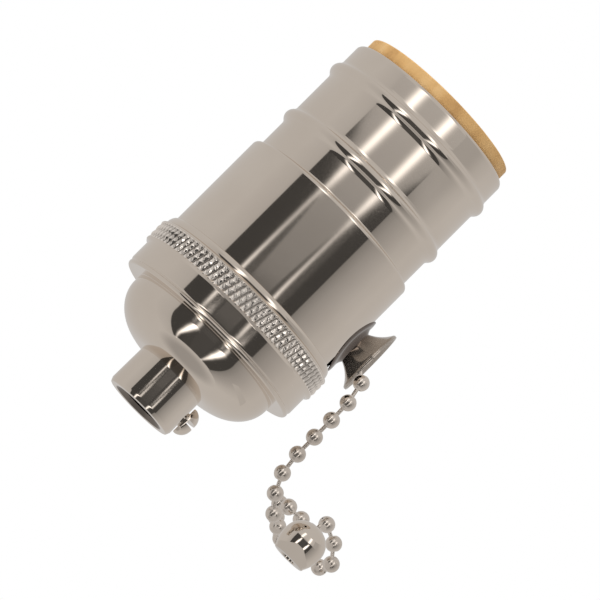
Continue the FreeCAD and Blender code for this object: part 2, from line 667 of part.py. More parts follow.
# ---- parts --------------------------------------------------------------------------------
PARTS = {
    "cap": make_cap(),
    "hub_bushing": make_hub(),
    "set_screw": make_set_screw(),
    "cap_liner": make_cap_liner(),
    "shell": make_shell(),
    "liner": make_liner(),
    "interior_base": make_interior_base(),
    "contact_disk": make_contact_disk(),
    "assembly_screws": make_assembly_screws(),
    "screw_shell": make_screw_shell(),
    "centre_contact": make_centre_contact(),
    "centre_rivet": make_centre_rivet(),
    "neutral_terminal": make_terminal(1, DISK_TOP_Z),
    "hot_terminal": make_terminal(-1, HOT_TERMINAL_TOP_Z),
    "neutral_screw": make_terminal_screw(1),
    "hot_screw": make_terminal_screw(-1),
    "frame_front": make_frame(-1),
    "frame_back": make_frame(1),
    "drum_shaft": make_drum_shaft(),
    "pull_drum": make_drum(),
    "chain_wrap": make_chain_wrap(),
    "ratchet_wheel": make_ratchet(),
    "rotor": make_rotor(),
    "rotor_contact": make_rotor_contact(),
    "pawl": make_pawl(),
    "return_spring": make_return_spring(),
    "fixed_contact_hot": make_fixed_contact(-1),
    "fixed_contact_centre": make_fixed_contact(1),
    "chain_guide": make_chain_guide(),
    "guide_nut": make_guide_nut(),
    "chain_inner": make_chain_inner(),
    "pull_chain": cord_tube(CHAIN_ROUTE, CHAIN_R),
    "end_link": make_end_link(),
    "pull_bell": make_pull_bell(),
}

os.makedirs("parts", exist_ok=True)
for node, shape in PARTS.items():
    if not shape.isValid():
        print("not valid:", node)
    shape.exportStep("parts/%s.step" % node)
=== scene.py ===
import json
import math

import bmesh
import bpy
from mathutils import Matrix, Vector


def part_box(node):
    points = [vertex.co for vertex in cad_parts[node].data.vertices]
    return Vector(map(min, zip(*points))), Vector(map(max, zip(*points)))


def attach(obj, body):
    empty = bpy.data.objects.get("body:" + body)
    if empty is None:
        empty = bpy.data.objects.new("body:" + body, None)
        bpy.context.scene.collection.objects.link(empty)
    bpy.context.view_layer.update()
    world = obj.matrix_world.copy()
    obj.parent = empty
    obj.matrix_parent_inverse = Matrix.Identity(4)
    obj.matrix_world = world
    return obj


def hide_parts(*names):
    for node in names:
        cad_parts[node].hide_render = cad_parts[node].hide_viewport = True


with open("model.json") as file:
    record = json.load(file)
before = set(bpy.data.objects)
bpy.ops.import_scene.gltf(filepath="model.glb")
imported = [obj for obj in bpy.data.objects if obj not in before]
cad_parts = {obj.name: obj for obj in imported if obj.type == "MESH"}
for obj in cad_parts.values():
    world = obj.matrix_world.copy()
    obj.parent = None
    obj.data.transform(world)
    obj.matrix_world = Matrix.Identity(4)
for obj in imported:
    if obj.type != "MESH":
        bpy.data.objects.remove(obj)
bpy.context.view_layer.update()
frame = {"nodes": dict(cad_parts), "record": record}

# A pull-chain lamp socket in polished nickel, in the CAD frame: +Z up the socket's axis, the
# hub's end at z = 0, the chain guide towards +X. Lengths are in mm where no comment says
# metres. The turned pieces are rebuilt here as fine meshes, because a mirror finish shows
# every facet of a coarse one.
MM = 0.001
SHARP_ANGLE = 35         # degrees between two faces, from which their edge is left sharp


# ---- meshes -------------------------------------------------------------------------------
def arc(centre, radius, start, end, steps):
    """Points of a circle in the (r, z) plane, from start to end degrees."""
    points = []
    for step in range(steps + 1):
        turn = math.radians(start + (end - start) * step / steps)
        points.append((centre[0] + radius * math.cos(turn), centre[1] + radius * math.sin(turn)))
    return points


def through(start, middle, end, steps):
    """Points of the arc through three points of the (r, z) plane, both ends included."""
    (ax, ay), (bx, by), (cx, cy) = start, middle, end
    a, b, c = ax**2 + ay**2, bx**2 + by**2, cx**2 + cy**2
    scale = 2 * (ax * (by - cy) + bx * (cy - ay) + cx * (ay - by))
    centre = ((a * (by - cy) + b * (cy - ay) + c * (ay - by)) / scale,
              (a * (cx - bx) + b * (ax - cx) + c * (bx - ax)) / scale)
    first, mid, last = (math.degrees(math.atan2(y - centre[1], x - centre[0]))
                        for x, y in (start, middle, end))
    forwards = (mid - first) % 360 < (last - first) % 360
    sweep = (last - first) % 360 if forwards else -((first - last) % 360)
    return arc(centre, math.hypot(ax - centre[0], ay - centre[1]), first, first + sweep, steps)


def put_in_scene(name, data):
    made = bpy.data.objects.new(name, data)
    bpy.context.scene.collection.objects.link(made)
    return made


def smooth(made, sharp=SHARP_ANGLE):
    made.data.shade_smooth()
    made.data.set_sharp_from_angle(angle=math.radians(sharp))


def make_object(name, vertices, faces, sharp=SHARP_ANGLE):
    """A smooth-shaded object of vertices in metres, with doubles merged and normals outward."""
    mesh = bpy.data.meshes.new(name)
    mesh.from_pydata(vertices, [], faces)
    shape = bmesh.new()
    shape.from_mesh(mesh)
    bmesh.ops.remove_doubles(shape, verts=shape.verts, dist=1e-7)
    bmesh.ops.recalc_face_normals(shape, faces=shape.faces)
    shape.to_mesh(mesh)
    shape.free()
    made = put_in_scene(name, mesh)
    smooth(made, sharp)
    return made


def guarded(outline, closed):
    """Adds a ring near each end of a long straight run, so that smooth shading bends only there."""
    guard = 0.04
    long_run = 1
    points = []
    for (r0, z0), (r1, z1) in zip(outline, outline[1:] + outline[:1]):
        points.append((r0, z0))
        run = math.hypot(r1 - r0, z1 - z0)
        if run > long_run:
            for share in (guard / run, 1 - guard / run):
                points.append((r0 + (r1 - r0) * share, z0 + (z1 - z0) * share))
    return points if closed else points[:points.index(outline[-1]) + 1]


def turns(segments):
    """The angles of the points of a ring, in radians."""
    return [2 * math.pi * step / segments for step in range(segments)]


def ring_faces(rings, segments, closed=True):
    """The faces between neighbouring rings and, if closed, between the last and the first."""
    faces = []
    for ring in range(rings if closed else rings - 1):
        below = ring * segments
        above = (ring + 1) % rings * segments
        for step in range(segments):
            ahead = (step + 1) % segments
            faces.append((below + step, below + ahead, above + ahead, above + step))
    return faces


def upright(r, z, turn):
    """Where a lathe turning about Z puts a point of its outline."""
    return (r * math.cos(turn), r * math.sin(turn), z)


def lying(height):
    """The same for a lathe turning about a line along X at a height: its outline is (r, x)."""
    def place(r, x, turn):
        return (x, r * math.cos(turn), height + r * math.sin(turn))

    return place


def lathe(name, outline, segments=256, place=upright, closed=True, sharp=SHARP_ANGLE):
    """Turns an (r, z) outline. place(r, z, turn) gives each point, in mm."""
    outline = guarded(outline, closed)
    vertices = [Vector(place(r, z, turn)) * MM for r, z in outline for turn in turns(segments)]
    return make_object(name, vertices, ring_faces(len(outline), segments, closed), sharp)


def cut(piece, tool):
    """Takes the tool out of the piece and removes the tool."""
    modifier = piece.modifiers.new("cut", "BOOLEAN")
    modifier.operation = "DIFFERENCE"
    modifier.solver = "EXACT"
    modifier.object = tool
    bpy.context.view_layer.objects.active = piece
    bpy.ops.object.modifier_apply(modifier="cut")
    bpy.data.objects.remove(tool)
    smooth(piece)


def cylinder(radius, x0, x1, z):
    """A cutter: a plain cylinder along X at height z."""
    outline = [(0, x0), (radius, x0), (radius, x1), (0, x1)]
    return lathe("cutter", outline, 64, lying(z), closed=False)


def slab(x, y, z):
    """A cutter: a block, from (low, high) pairs."""
    corners = [Vector((a, b, c)) * MM for a in x for b in y for c in z]
    faces = [(0, 1, 3, 2), (4, 6, 7, 5), (0, 4, 5, 1), (2, 3, 7, 6), (0, 2, 6, 4), (1, 5, 7, 3)]
    return make_object("cutter", corners, faces)


def yaw(piece):
    """Turns a piece of the pull side about the socket's axis, as the guide is turned."""
    piece.data.transform(Matrix.Rotation(GUIDE_YAW, 4, "Z"))


# ---- sizes, read from the frame where its boxes hold them ---------------------------------
def high(node):
    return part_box(node)[1] / MM


def low(node):
    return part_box(node)[0] / MM


# The guide and the set screw.
GUIDE_YAW = math.radians(-4)
GUIDE_Z = (low("chain_guide").z + high("chain_guide").z) / 2
GUIDE_MOUTH_R = (high("chain_guide").z - low("chain_guide").z) / 2
GUIDE_MOUTH_X = 23.25
GUIDE_NECK_R = 3.3
GUIDE_SHADE_X = (19.2, 21.2)  # how far out the painted shade on the guide's foot fades into the plating
FLANGE_R = 5.75
SCREW_Z = 4.1
SCREW_HEAD_R = 2.75
SCREW_HOLE_R = 1.56
SCREW_SLOT_Z = (3.7, 4.5)

# The shell, with its two rolled beads.
BARREL_R = high("shell").y
NECK_R = 17.5
BEAD_R = 18.36
BEAD_ZS = (55.3, 66.9)
BEAD_HALF_W = 1.9
SHOULDER = (47.2, 0.75)      # height where the barrel starts to round in, and the arc
MOUTH_ARC = 0.85
MOUTH_Z = high("shell").z
SHELL_FOOT = low("shell").z
SHELL_WALL = 0.5
LINER_R = high("liner").y
LINER_WALL = 0.9
SLOT_HALF_W = 3.7            # of the slots of shell and liner, which pass the guide's neck

# The cap, with its knurl.
CAP_WALL = 0.7
CAP_TOP = high("cap").z
BAND_FOOT = 16.75
CAP_FLOOR = BAND_FOOT + CAP_WALL
CAP_HOLE_R = 5.6
DOME = (7.14, 15.35)         # centre of the dome's quarter ellipse
DOME_SEMI = (9.0, 7.25)
DOME_BOTTOM = (8.1, 8.8)     # outside and inside
BAND_R = 19.34
ROLL_R = 19.25
LIP_R = 19.4
KNURL_R = high("cap").y
KNURL_Z = (22.3, 26.0)
KNURL_RIDGES = 94
KNURL_DEPTH = 0.40
KNURL_LEAN = 0.79            # ridges passed by a main ridge over the knurl's height
KNURL_CROSS_LEAN = 2.1       # and by a crossing one, the other way
KNURL_CROSS_SHARE = 0.74     # depth of the crossing grooves, as a share of the main ones'
KNURL_FADE = 0.08            # share of the knurl's height over which it runs out
KNURL_SHADE_DEPTHS = (0.16, 0.38)    # depths to which the knurl's crests get a painted highlight, and from which its grooves get painted shade

# The hub.
HUB_R = 7.0
HUB_BORE_R = 4.55
HUB_MOUTH_R = 5.4
HUB_SHADE_R = (5.3, 5.45)     # radii between which the painted shade in the bore fades into the polish
HUB_TOP = 9.6
HUB_THREAD_FOOT = 0.85
HUB_PITCH = 0.94
HUB_THREAD_DEPTH = 0.28

# The lamp's contact shell.
LAMP_R = 12.9
LAMP_WALL = 0.45
LAMP_FOOT_R = 12.1           # a plain foot, which is narrower than the thread
LAMP_HOLE_R = 6.6
LAMP_FOOT = low("screw_shell").z
LAMP_TOP = high("screw_shell").z
LAMP_PITCH = 3.63
LAMP_THREAD_DEPTH = 0.42     # to each side of the mean radius

# The chain and its bell.
BELL = (low("pull_bell") + high("pull_bell")) / 2
BALL_R = 1.5
BALL_WALL = 0.28
BALL_HOLE = 24               # degrees from the ball's axis to the edge of its hole
LINK_R = 0.36
FIRST_BALL = 0.0032          # metres along the free chain
TAUT_PITCH = 0.00422         # metres
HANGING_BALLS = 7
HEAP_BALLS = 15

# The free chain's route, in metres: the same points as the CAD tube's.
CHAIN_ROUTE = [
    (0.01826, -0.00128, 0.0336), (0.02285, -0.0016, 0.0335), (0.02525, -0.00175, 0.0293),
    (0.0254, -0.00175, 0.0211), (0.02525, -0.0017, 0.013), (0.0259, -0.0014, 0.0086),
    (0.0278, -0.0008, 0.0056), (0.0299, 0.0002, 0.0034), (0.032, 0.0036, 0.003),
    (0.0344, 0.0072, 0.0019), (0.0336, 0.0106, 0.0032), (0.0308, 0.0116, 0.0046),
    (0.029, 0.009, 0.0064), (0.0302, 0.006, 0.0073), (0.0316, 0.0036, 0.0065),
    (0.0339, 0.004, 0.0068), (0.035, 0.0066, 0.0072), (0.0372, 0.0082, 0.006),
    (0.04, 0.0086, 0.0044), (0.0422, 0.007, 0.0032), (0.0436, 0.0046, 0.004),
    (0.0427, 0.003, 0.0061), (0.041, 0.0031, 0.0077), (0.0394, 0.0027, 0.0089),
    (0.0377, 0.002, 0.0091),
]


# ---- camera, in metres --------------------------------------------------------------------
AIM = Vector((0.00666, 0, 0.0335))
DISTANCE = 1.25
ELEVATION = math.radians(-8)
ROLL = math.radians(45)
HALF_VIEW = 0.05245 / DISTANCE       # half the view's width at the aim, per metre of distance


def make_camera():
    """Looks along +Y from a little below the socket, rolled so that the axis leans to the right."""
    camera = put_in_scene("camera", bpy.data.cameras.new("camera"))
    back = Vector((0, -math.cos(ELEVATION), math.sin(ELEVATION)))
    right = Vector((1, 0, 0))
    up = back.cross(right)
    turned_right = right * math.cos(ROLL) + up * math.sin(ROLL)
    turned_up = up * math.cos(ROLL) - right * math.sin(ROLL)
    camera.matrix_world = Matrix((turned_right, turned_up, back)).transposed().to_4x4()
    camera.location = AIM + back * DISTANCE
    camera.data.sensor_width = 36
    camera.data.lens = camera.data.sensor_width / 2 / HALF_VIEW
    camera.data.clip_start = 0.05
    camera.data.clip_end = 20
    bpy.context.scene.camera = camera


# ---- materials ----------------------------------------------------------------------------
DRIFT_SCALE = 90             # of the noise in a metal's colour
POLISH_SCALE = 2600          # of the noise in its roughness
WAVE_SCALE = 140             # of its waviness
WAVE_DEPTH = 0.000004        # metres


def new_material(name):
    """A material with its nodes, its links and its shader."""
    material = bpy.data.materials.new(name)
    material.use_nodes = True
    nodes = material.node_tree.nodes
    return material, nodes, material.node_tree.links, nodes["Principled BSDF"]


def texture_noise(nodes, links, coordinates, scale, detail, stretch=(1, 1, 1)):
    """The socket for a noise that sticks to the piece."""
    mapping = nodes.new("ShaderNodeMapping")
    mapping.inputs["Scale"].default_value = stretch
    links.new(coordinates.outputs["Object"], mapping.inputs["Vector"])
    noise = nodes.new("ShaderNodeTexNoise")
    noise.inputs["Scale"].default_value = scale
    noise.inputs["Detail"].default_value = detail
    links.new(mapping.outputs["Vector"], noise.inputs["Vector"])
    return noise.outputs["Fac"]


def ramp(nodes, links, source, stops):
    """The socket for the colour that the stops, each (place, colour), give the source."""
    made = nodes.new("ShaderNodeValToRGB")
    elements = made.color_ramp.elements
    while len(elements) < len(stops):
        elements.new(0.5)
    for element, (place, colour) in zip(elements, stops):
        element.position = place
        element.color = (*colour, 1)
    links.new(source, made.inputs["Fac"])
    return made.outputs["Color"]


def map_range(nodes, links, source, given=(0, 1), wanted=(0, 1), interpolation="LINEAR"):
    """The socket that runs over the wanted range while the source runs over the given one."""
    made = nodes.new("ShaderNodeMapRange")
    made.interpolation_type = interpolation
    for socket, value in zip(("From Min", "From Max", "To Min", "To Max"), (*given, *wanted)):
        made.inputs[socket].default_value = value
    links.new(source, made.inputs["Value"])
    return made.outputs["Result"]


def mix_colours(nodes, links, factor, first, second):
    """The socket for a mix of two colours, each of which is (r, g, b) or a socket."""
    made = nodes.new("ShaderNodeMix")
    made.data_type = "RGBA"
    links.new(factor, made.inputs["Factor"])
    for socket, colour in (("A", first), ("B", second)):
        if isinstance(colour, tuple):
            made.inputs[socket].default_value = (*colour, 1)
        else:
            links.new(colour, made.inputs[socket])
    return made.outputs["Result"]


def bump(nodes, links, shader, height, depth, strength=1.0):
    """Makes the surface uneven, by a depth in metres."""
    made = nodes.new("ShaderNodeBump")
    made.inputs["Distance"].default_value = depth
    made.inputs["Strength"].default_value = strength
    links.new(height, made.inputs["Height"])
    links.new(made.outputs["Normal"], shader.inputs["Normal"])


def axis_distance(nodes, links, coordinates):
    """The socket for a point's distance from the socket's axis, in metres."""
    level = nodes.new("ShaderNodeVectorMath")
    level.operation = "MULTIPLY"
    level.inputs[1].default_value = (1, 1, 0)
    links.new(coordinates.outputs["Object"], level.inputs[0])
    radius = nodes.new("ShaderNodeVectorMath")
    radius.operation = "LENGTH"
    links.new(level.outputs["Vector"], radius.inputs[0])
    return radius.outputs["Value"]


def position(nodes, links, coordinates, axis):
    """The socket for a point's place along X, Y or Z, in metres."""
    apart = nodes.new("ShaderNodeSeparateXYZ")
    links.new(coordinates.outputs["Object"], apart.inputs["Vector"])
    return apart.outputs[axis]


def metal(name, colour, shade, rough, stretch=(1, 1, 1), repaint=None, metallic=1):
    """A metal with a slight colour drift, uneven polish and a faint waviness. repaint changes
    its colour from place to place."""
    material, nodes, links, shader = new_material(name)
    coordinates = nodes.new("ShaderNodeTexCoord")
    drift = texture_noise(nodes, links, coordinates, DRIFT_SCALE, 4)
    colours = ramp(nodes, links, drift, [(0.3, shade), (0.7, colour)])
    if repaint:
        colours = repaint(nodes, links, coordinates, colours)
    links.new(colours, shader.inputs["Base Color"])
    shader.inputs["Metallic"].default_value = metallic
    polish = texture_noise(nodes, links, coordinates, POLISH_SCALE, 2, stretch)
    links.new(map_range(nodes, links, polish, wanted=rough), shader.inputs["Roughness"])
    waves = texture_noise(nodes, links, coordinates, WAVE_SCALE, 2, stretch)
    bump(nodes, links, shader, waves, WAVE_DEPTH)
    return material


def shaded_bore(nodes, links, coordinates, colour):
    """Paints shade into the hub's bore: a dark colour inside it."""
    radius = axis_distance(nodes, links, coordinates)
    outside = map_range(nodes, links, radius, [edge * MM for edge in HUB_SHADE_R])
    return mix_colours(nodes, links, outside, (0.21, 0.185, 0.165), colour)


def knurl_light_and_shade(nodes, links, coordinates, colour):
    """Paints highlights on the crests of the cap's knurl and shade in its grooves."""
    on_knurl = nodes.new("ShaderNodeMath")
    on_knurl.operation = "COMPARE"
    on_knurl.inputs[1].default_value = (KNURL_Z[0] + KNURL_Z[1]) / 2 * MM
    on_knurl.inputs[2].default_value = (KNURL_Z[1] - KNURL_Z[0]) / 2 * MM - 0.1 * MM
    links.new(position(nodes, links, coordinates, "Z"), on_knurl.inputs[0])
    radii = [(KNURL_R - depth) * MM for depth in KNURL_SHADE_DEPTHS]
    groove = map_range(nodes, links, axis_distance(nodes, links, coordinates), radii)
    # the painted highlight for the crests and the painted shade for the grooves
    pressed = mix_colours(nodes, links, groove, (0.97, 0.905, 0.835), (0.33, 0.30, 0.27))
    return mix_colours(nodes, links, on_knurl.outputs["Value"], colour, pressed)


def shaded_foot(nodes, links, coordinates, colour):
    """Paints shade on the guide beside the barrel."""
    out = position(nodes, links, coordinates, "X")
    clear = map_range(nodes, links, out, [x * MM for x in GUIDE_SHADE_X])
    return mix_colours(nodes, links, clear, (0.17, 0.142, 0.125), colour)


def fibre_material():
    """Tan fibre, blotched and faintly hairy along the axis."""
    material, nodes, links, shader = new_material("vulcanised_fibre")
    coordinates = nodes.new("ShaderNodeTexCoord")
    blotch = texture_noise(nodes, links, coordinates, 260, 6, (1, 1, 0.45))
    colours = ramp(nodes, links, blotch, [(0.25, (0.46, 0.25, 0.085)), (0.5, (0.62, 0.37, 0.14)),
                                          (0.78, (0.73, 0.48, 0.22))])
    links.new(colours, shader.inputs["Base Color"])
    hair = texture_noise(nodes, links, coordinates, 2400, 5, (1, 1, 0.2))
    links.new(map_range(nodes, links, hair, wanted=(0.5, 0.75)), shader.inputs["Roughness"])
    bump(nodes, links, shader, hair, 0.00005, 0.5)
    return material


def phenolic_material():
    """Dark brown moulding with fine flecks."""
    material, nodes, links, shader = new_material("moulded_phenolic")
    coordinates = nodes.new("ShaderNodeTexCoord")
    fleck = texture_noise(nodes, links, coordinates, 900, 5)
    colours = ramp(nodes, links, fleck, [(0.35, (0.030, 0.018, 0.012)),
                                         (0.7, (0.075, 0.042, 0.026))])
    links.new(colours, shader.inputs["Base Color"])
    links.new(map_range(nodes, links, fleck, wanted=(0.28, 0.45)), shader.inputs["Roughness"])
    bump(nodes, links, shader, fleck, 0.00002, 0.4)
    return material


# Of a metal: its colour, the shade that it drifts to, and its range of roughness.
POLISH = ((0.775, 0.70, 0.62), (0.74, 0.662, 0.582), (0.035, 0.075))
CHAIN = ((0.80, 0.73, 0.66), (0.70, 0.63, 0.56), (0.16, 0.28))
ROLLED = ((0.80, 0.79, 0.76), (0.70, 0.69, 0.66), (0.16, 0.3))
BRASS = ((0.83, 0.62, 0.27), (0.72, 0.50, 0.20), (0.18, 0.34))
ZINC = ((0.60, 0.61, 0.63), (0.47, 0.48, 0.50), (0.28, 0.45))
STEEL = ((0.70, 0.68, 0.64), (0.58, 0.56, 0.53), (0.18, 0.3))
# the polish darkened as painted shade, for the whole chain guide
SHADED_POLISH = ((0.50, 0.45, 0.40), (0.40, 0.355, 0.31), (0.06, 0.12))

MATERIALS = {
    "polished_nickel": metal("polished_nickel", *POLISH),
    "chain_nickel": metal("chain_nickel", *CHAIN),
    "screw_shell_metal": metal("screw_shell_metal", *ROLLED),
    "brass": metal("pressed_brass", *BRASS),
    "frame_steel": metal("zinc_plated_steel", *ZINC, stretch=(1, 1, 0.1)),
    "screw_steel": metal("screw_steel", *STEEL),
    "fibre": fibre_material(),
    "phenolic": phenolic_material(),
}
# Painted light: highlights and shade on the knurl, shade in the hub's bore, and shade over the
# whole guide.
CAP_NICKEL = metal("knurled_nickel", *POLISH, repaint=knurl_light_and_shade)
HUB_NICKEL = metal("bored_nickel", *POLISH, repaint=shaded_bore)
GUIDE_SHADED_NICKEL = metal("shaded_nickel", *SHADED_POLISH, repaint=shaded_foot, metallic=0.82)


def dress(piece, slot, body, *nodes, material=None):
    """Gives a piece its material, which its slot names unless one is given, and its body, and hides
    the CAD nodes that it stands for.
    """
    piece.data.materials.clear()
    piece.data.materials.append(material or MATERIALS[slot])
    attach(piece, body)
    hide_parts(*nodes)


# ---- cap and hub --------------------------------------------------------------------------
def bowl(inset, steps):
    """The dome's quarter ellipse from its bottom to its side."""
    points = []
    for step in range(steps + 1):
        turn = math.pi / 2 * step / steps
        points.append((DOME[0] + (DOME_SEMI[0] - inset) * math.sin(turn),
                       DOME[1] - (DOME_SEMI[1] - inset) * math.cos(turn)))
    return points


def crest(phase):
    """Height of a knurled ridge across its width, from 0 in the groove to 1 on the crest."""
    share = abs((phase % 1) * 2 - 1)
    groove_share = 0.1
    flank_share = 0.75
    return min(1, max(0, (share - groove_share) / flank_share))


def knurl(z, turn):
    """How deep the knurl's grooves are at a place on the band."""
    up = (z - KNURL_Z[0]) / (KNURL_Z[1] - KNURL_Z[0])
    if not 0 < up < 1:
        return 0.0
    fade = min(1, up / KNURL_FADE, (1 - up) / KNURL_FADE)
    around = turn / (2 * math.pi) * KNURL_RIDGES
    main = 1 - crest(around - up * KNURL_LEAN)
    cross = 1 - crest(around + up * KNURL_CROSS_LEAN)
    return KNURL_DEPTH * fade * max(main, KNURL_CROSS_SHARE * cross)


def make_cap():
    """The spun cap: dome, rolled edge, plain band, knurl and lip."""
    inner = BARREL_R + 0.15
    rows = 26
    # the dome and the rolled edge above it
    outline = [(CAP_HOLE_R, DOME_BOTTOM[0])] + bowl(0, 28)
    outline += [(DOME[0] + DOME_SEMI[0], 16.68), (DOME[0] + 9.08, BAND_FOOT)]
    outline += arc((ROLL_R - 0.5, 17.25), 0.5, -90, 25, 8)
    outline += through((BAND_R - 0.24, 17.5), (BAND_R - 0.27, 17.62), (BAND_R - 0.16, 17.78), 5)
    # the plain band, the knurl and the lip
    outline += [(BAND_R - 0.05, 17.96), (BAND_R, 18.14), (BAND_R, 21.8), (BAND_R + 0.04, 21.9)]
    outline += [(BAND_R + 0.5, 22.1)]
    for row in range(rows + 1):
        outline.append((KNURL_R, KNURL_Z[0] + (KNURL_Z[1] - KNURL_Z[0]) * row / rows))
    outline += [(KNURL_R - 0.08, 26.15), (LIP_R + 0.05, 26.4), (LIP_R - 0.08, 26.55)]
    outline += [(LIP_R, 26.75)]
    outline += through((LIP_R, 26.9), (LIP_R - 0.13, CAP_TOP - 0.5),
                       (inner + 0.28, CAP_TOP - 0.02), 6)
    # the inside
    outline += [(inner + 0.12, CAP_TOP), (inner, CAP_TOP - 0.1), (inner, CAP_FLOOR + 0.1)]
    outline += [(inner - 0.1, CAP_FLOOR), (DOME[0] + 8.4, CAP_FLOOR)]
    outline += [(DOME[0] + 8.3, CAP_FLOOR - 0.1)]
    outline += list(reversed(bowl(CAP_WALL, 16))) + [(CAP_HOLE_R, DOME_BOTTOM[1])]

    def knurled(r, z, turn):
        return upright(r - (knurl(z, turn) if r == KNURL_R else 0), z, turn)

    cap = lathe("cap_spinning", outline, KNURL_RIDGES * 10, knurled, sharp=50)
    dress(cap, "polished_nickel", "socket", "cap", material=CAP_NICKEL)


def thread_form(phase):
    """Depth of the hub's thread over one pitch, from 0 to 1 and back."""
    share = abs((phase % 1) * 2 - 1)
    return share * share * (3 - 2 * share)


def make_hub():
    """The threaded hub, riveted through the cap, with a hole for the set screw."""
    rows = 74
    # the outside, then the riveted collar that holds the cap, then the bore
    outline = [(HUB_MOUTH_R, 0.0), (5.55, 0.0), (HUB_R - 0.42, 0.0), (HUB_R - 0.3, 0.06)]
    outline += [(HUB_R - 0.06, 0.62), (HUB_R, 0.8), (6.95, 4.5), (6.9, 8.0), (6.9, DOME_BOTTOM[0])]
    outline += [(CAP_HOLE_R, DOME_BOTTOM[0]), (CAP_HOLE_R, DOME_BOTTOM[1]), (7.1, DOME_BOTTOM[1])]
    outline += [(7.1, HUB_TOP), (HUB_BORE_R + 0.3, HUB_TOP)]
    for row in range(rows + 1):
        outline.append((HUB_BORE_R, HUB_TOP - (HUB_TOP - HUB_THREAD_FOOT) * row / rows))

    def threaded(r, z, turn):
        if r == HUB_BORE_R:
            r += HUB_THREAD_DEPTH * thread_form(z / HUB_PITCH - turn / (2 * math.pi))
        return upright(r, z, turn)

    hub = lathe("hub", outline, 192, threaded)
    cut(hub, cylinder(SCREW_HOLE_R, 4.0, 8.0, SCREW_Z))
    dress(hub, "polished_nickel", "socket", "hub_bushing", material=HUB_NICKEL)


def make_set_screw():
    """The slotted round-head screw in the hub's side."""
    head = HUB_R + 0.15
    rim = SCREW_HEAD_R
    outline = [(0, 5.0), (1.3, 5.0), (1.5, 5.2), (1.5, head)]
    outline += [(rim - 0.12, head), (rim, head + 0.12)]
    outline += through((rim, head + 0.5), (rim * 0.75, head + 1.64), (0, head + 2.1), 12)
    screw = lathe("set_screw_turned", outline, 96, lying(SCREW_Z), closed=False)
    cut(screw, slab((head + 0.65, head + 3), (-4, 4), SCREW_SLOT_Z))
    dress(screw, "polished_nickel", "set_screw", "set_screw")


# ---- shell and liner ----------------------------------------------------------------------
def shell_side(inset, steps):
    """The shell's side from the barrel's top to the mouth, set in by its wall or by nothing."""
    foot, shoulder = SHOULDER
    hollow = BARREL_R - NECK_R - shoulder
    points = arc((BARREL_R - shoulder, foot), shoulder - inset, 0, 90, steps)
    points += arc((NECK_R + hollow, foot + shoulder + hollow), hollow + inset, 270, 180, steps)
    # Each bead is three arcs of one radius that meet smoothly: hollow, round and hollow.
    rise = BEAD_R - NECK_R
    half = BEAD_HALF_W
    rho = (half**2 + rise**2) / (4 * rise)
    phi = math.degrees(math.asin(half / (2 * rho)))
    for z in BEAD_ZS:
        points += arc((NECK_R + rho, z - half), rho + inset, 180, 180 - phi, steps)
        points += arc((BEAD_R - rho, z), rho - inset, -phi, phi, 2 * steps)[1:]
        points += arc((NECK_R + rho, z + half), rho + inset, 180 + phi, 180, steps)[1:]
    return points + arc((NECK_R - MOUTH_ARC, MOUTH_Z - MOUTH_ARC), MOUTH_ARC - inset, 0, 90, steps)


def cut_neck_slot(piece, radius):
    """Cuts the slot that lets a sleeve of this radius lift off over the guide's neck."""
    reach = (8, radius + 4)
    rounded_top = cylinder(SLOT_HALF_W, *reach, GUIDE_Z)
    sides = slab(reach, (-SLOT_HALF_W, SLOT_HALF_W), (10, GUIDE_Z))
    for tool in (rounded_top, sides):
        yaw(tool)
        cut(piece, tool)


def make_shell():
    """The drawn shell: barrel, shoulder, two beads and a rounded mouth."""
    inner = BARREL_R - SHELL_WALL
    outline = [(inner + 0.05, SHELL_FOOT), (BARREL_R - 0.05, SHELL_FOOT)]
    outline += [(BARREL_R, SHELL_FOOT + 0.1), (BARREL_R, 28.0), (BARREL_R, 38.0)] + shell_side(0, 7)
    outline += list(reversed(shell_side(SHELL_WALL, 5)))
    outline += [(inner, 38.0), (inner, SHELL_FOOT + 0.1)]
    shell = lathe("shell_drawn", outline, 320)
    cut_neck_slot(shell, BARREL_R)
    dress(shell, "polished_nickel", "shell", "shell")


def make_liner():
    """The fibre sleeve in the shell, with rounded edges at its top."""
    inner = LINER_R - LINER_WALL
    foot = low("liner").z
    top = high("liner").z
    edge = 0.2
    outline = [(inner, foot), (LINER_R, foot), (LINER_R, 40), (LINER_R, top - edge)]
    outline += arc((LINER_R - edge, top - edge), edge, 0, 90, 4)
    outline += arc((inner + edge, top - edge), edge, 90, 180, 4) + [(inner, 40)]
    liner = lathe("liner_sleeve", outline, 256)
    cut_neck_slot(liner, LINER_R)
    dress(liner, "fibre", "liner", "liner")


